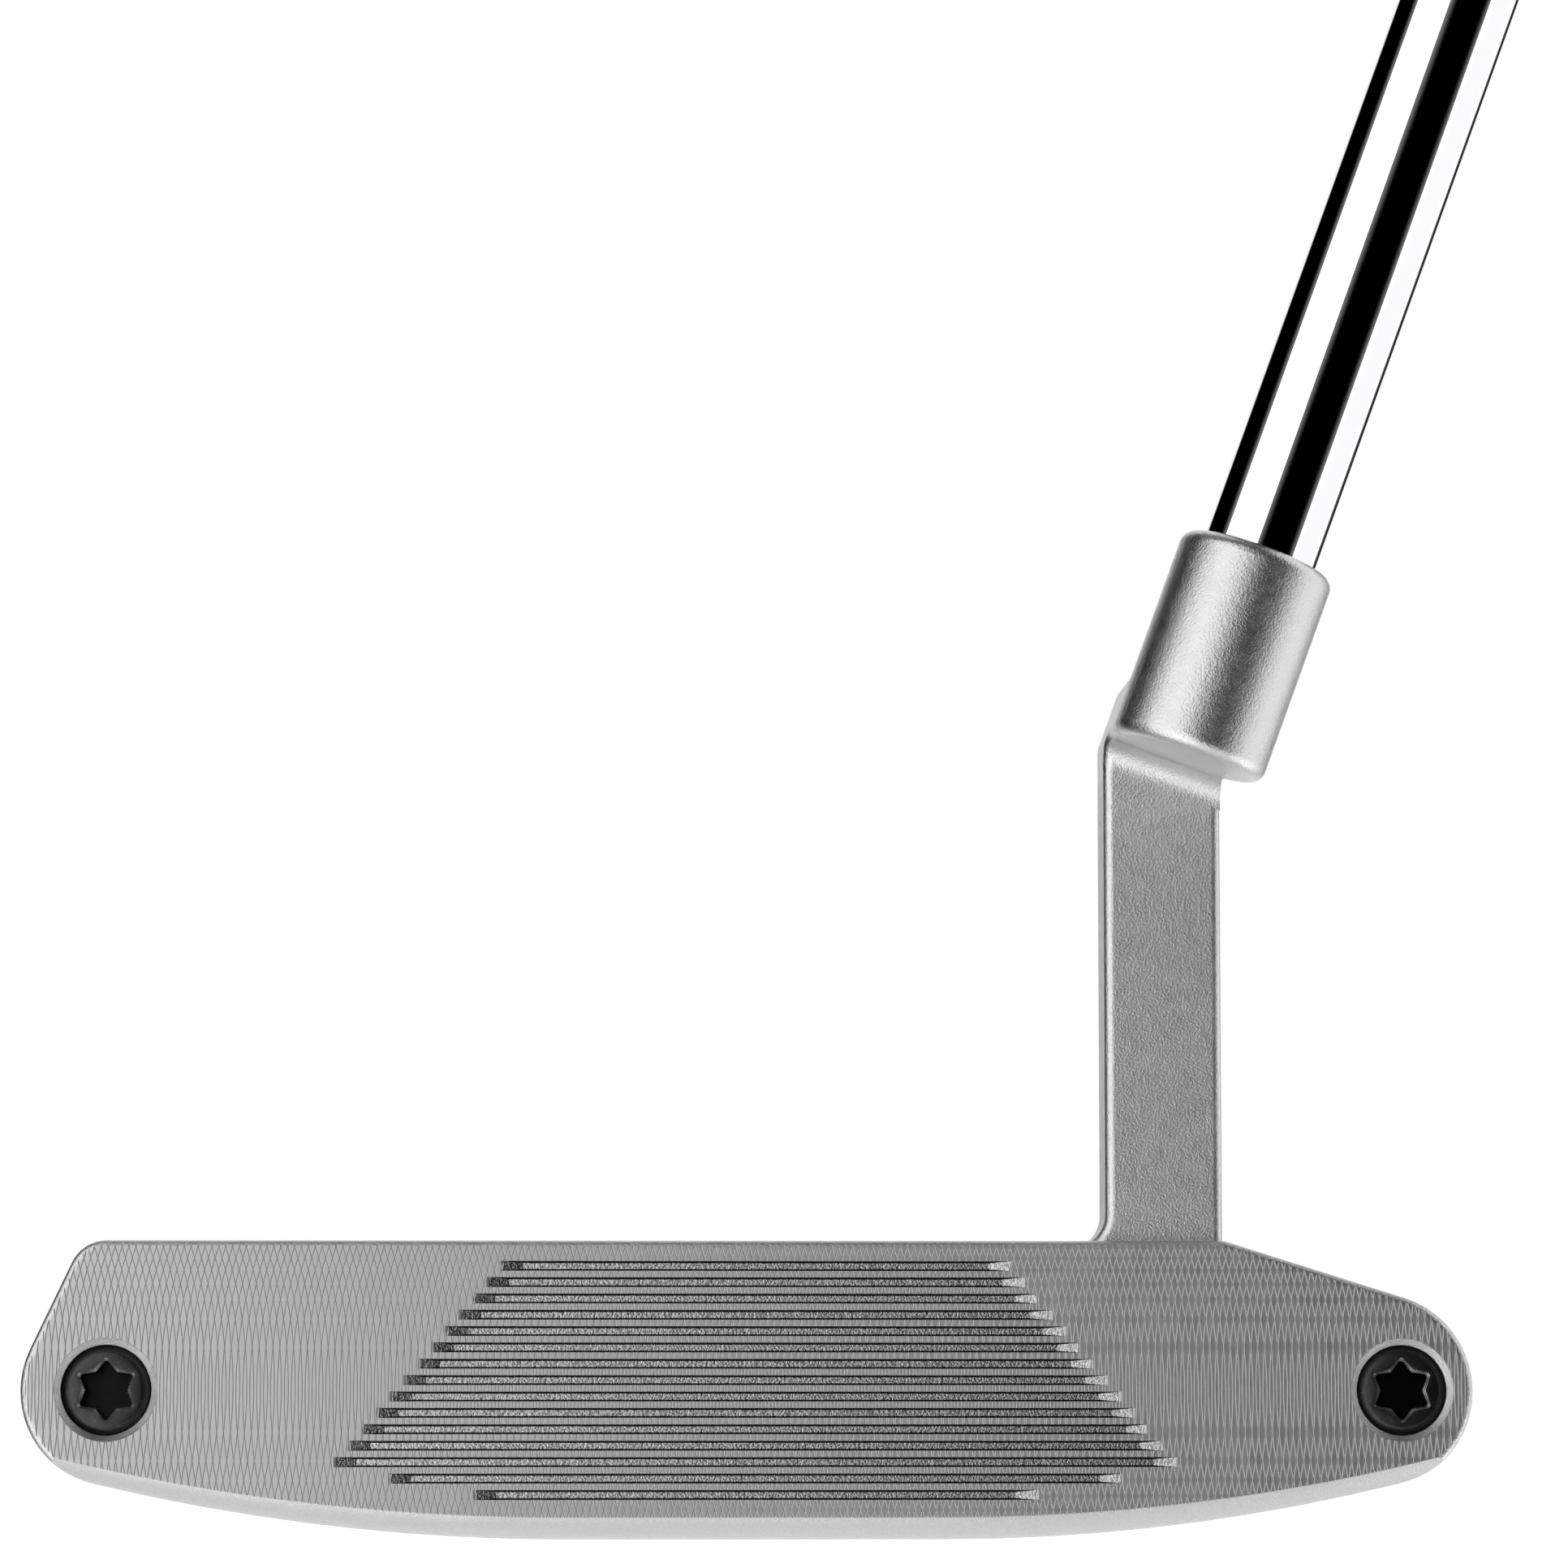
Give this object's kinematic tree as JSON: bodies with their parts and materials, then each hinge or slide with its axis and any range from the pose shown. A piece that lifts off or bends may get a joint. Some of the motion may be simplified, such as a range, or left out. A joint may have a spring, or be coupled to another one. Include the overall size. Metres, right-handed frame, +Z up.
{
  "type": "blade putter",
  "caption": "Golf putter with a heel-toe weighted blade, grooved milled face, screw-in weights, upright offset neck, chromed stepped shaft and pistol grip.",
  "frame": {"origin": "on the ground, at the middle of the sole's flat, under the middle of the face and halfway back", "axes": "+Z up; -Y the way the face looks, towards the target; +X towards the heel and the player"},
  "size_m": [0.3815, 0.0444, 0.8148],
  "materials": {
    "head_steel": "bead-blasted satin stainless, fine milled face",
    "sight_paint": "black paint fill",
    "glue": "cured epoxy",
    "shaft_chrome": "polished chrome plate",
    "tape": "paper tape",
    "core_rubber": "soft moulded sleeve",
    "grip_trim": "satin moulded rubber",
    "grip_skin": "fine pebbled polyurethane",
    "screw_black": "black coated steel with turning marks",
    "washer_rubber": "plain"
  },
  "bodies": {
    "club": {"putter_head": "head_steel", "sight_line_fill": "sight_paint", "hosel_glue": "glue", "shaft": "shaft_chrome", "grip_tape": "tape", "grip_core": "core_rubber", "grip_collar": "grip_trim", "grip_skin": "grip_skin", "grip_cap": "grip_trim"},
    "toe_washer": {"toe_lock_washer": "washer_rubber"},
    "toe_screw": {"toe_weight_screw": "screw_black"},
    "heel_washer": {"heel_lock_washer": "washer_rubber"},
    "heel_screw": {"heel_weight_screw": "screw_black"}
  },
  "joints": [
    {"name": "toe_screw_travel", "type": "slide", "parent": "club", "child": "toe_washer", "axis": [0, -0.9986, 0.0523], "range_m": [0, 0.012]},
    {"name": "toe_screw_turn", "type": "hinge", "parent": "toe_washer", "child": "toe_screw", "pos_m": [-0.05216, -0.0132, 0.012], "axis": [0, -0.9986, 0.0523], "range_deg": [0, 4320]},
    {"name": "heel_screw_travel", "type": "slide", "parent": "club", "child": "heel_washer", "axis": [0, -0.9986, 0.0523], "range_m": [0, 0.012]},
    {"name": "heel_screw_turn", "type": "hinge", "parent": "heel_washer", "child": "heel_screw", "pos_m": [0.05216, -0.0132, 0.012], "axis": [0, -0.9986, 0.0523], "range_deg": [0, 4320]}
  ],
  "couplings": [
    {"joint": "toe_screw_turn", "follows": "toe_screw_travel", "rad_per_m": 6283.2},
    {"joint": "heel_screw_turn", "follows": "heel_screw_travel", "rad_per_m": 6283.2}
  ]
}
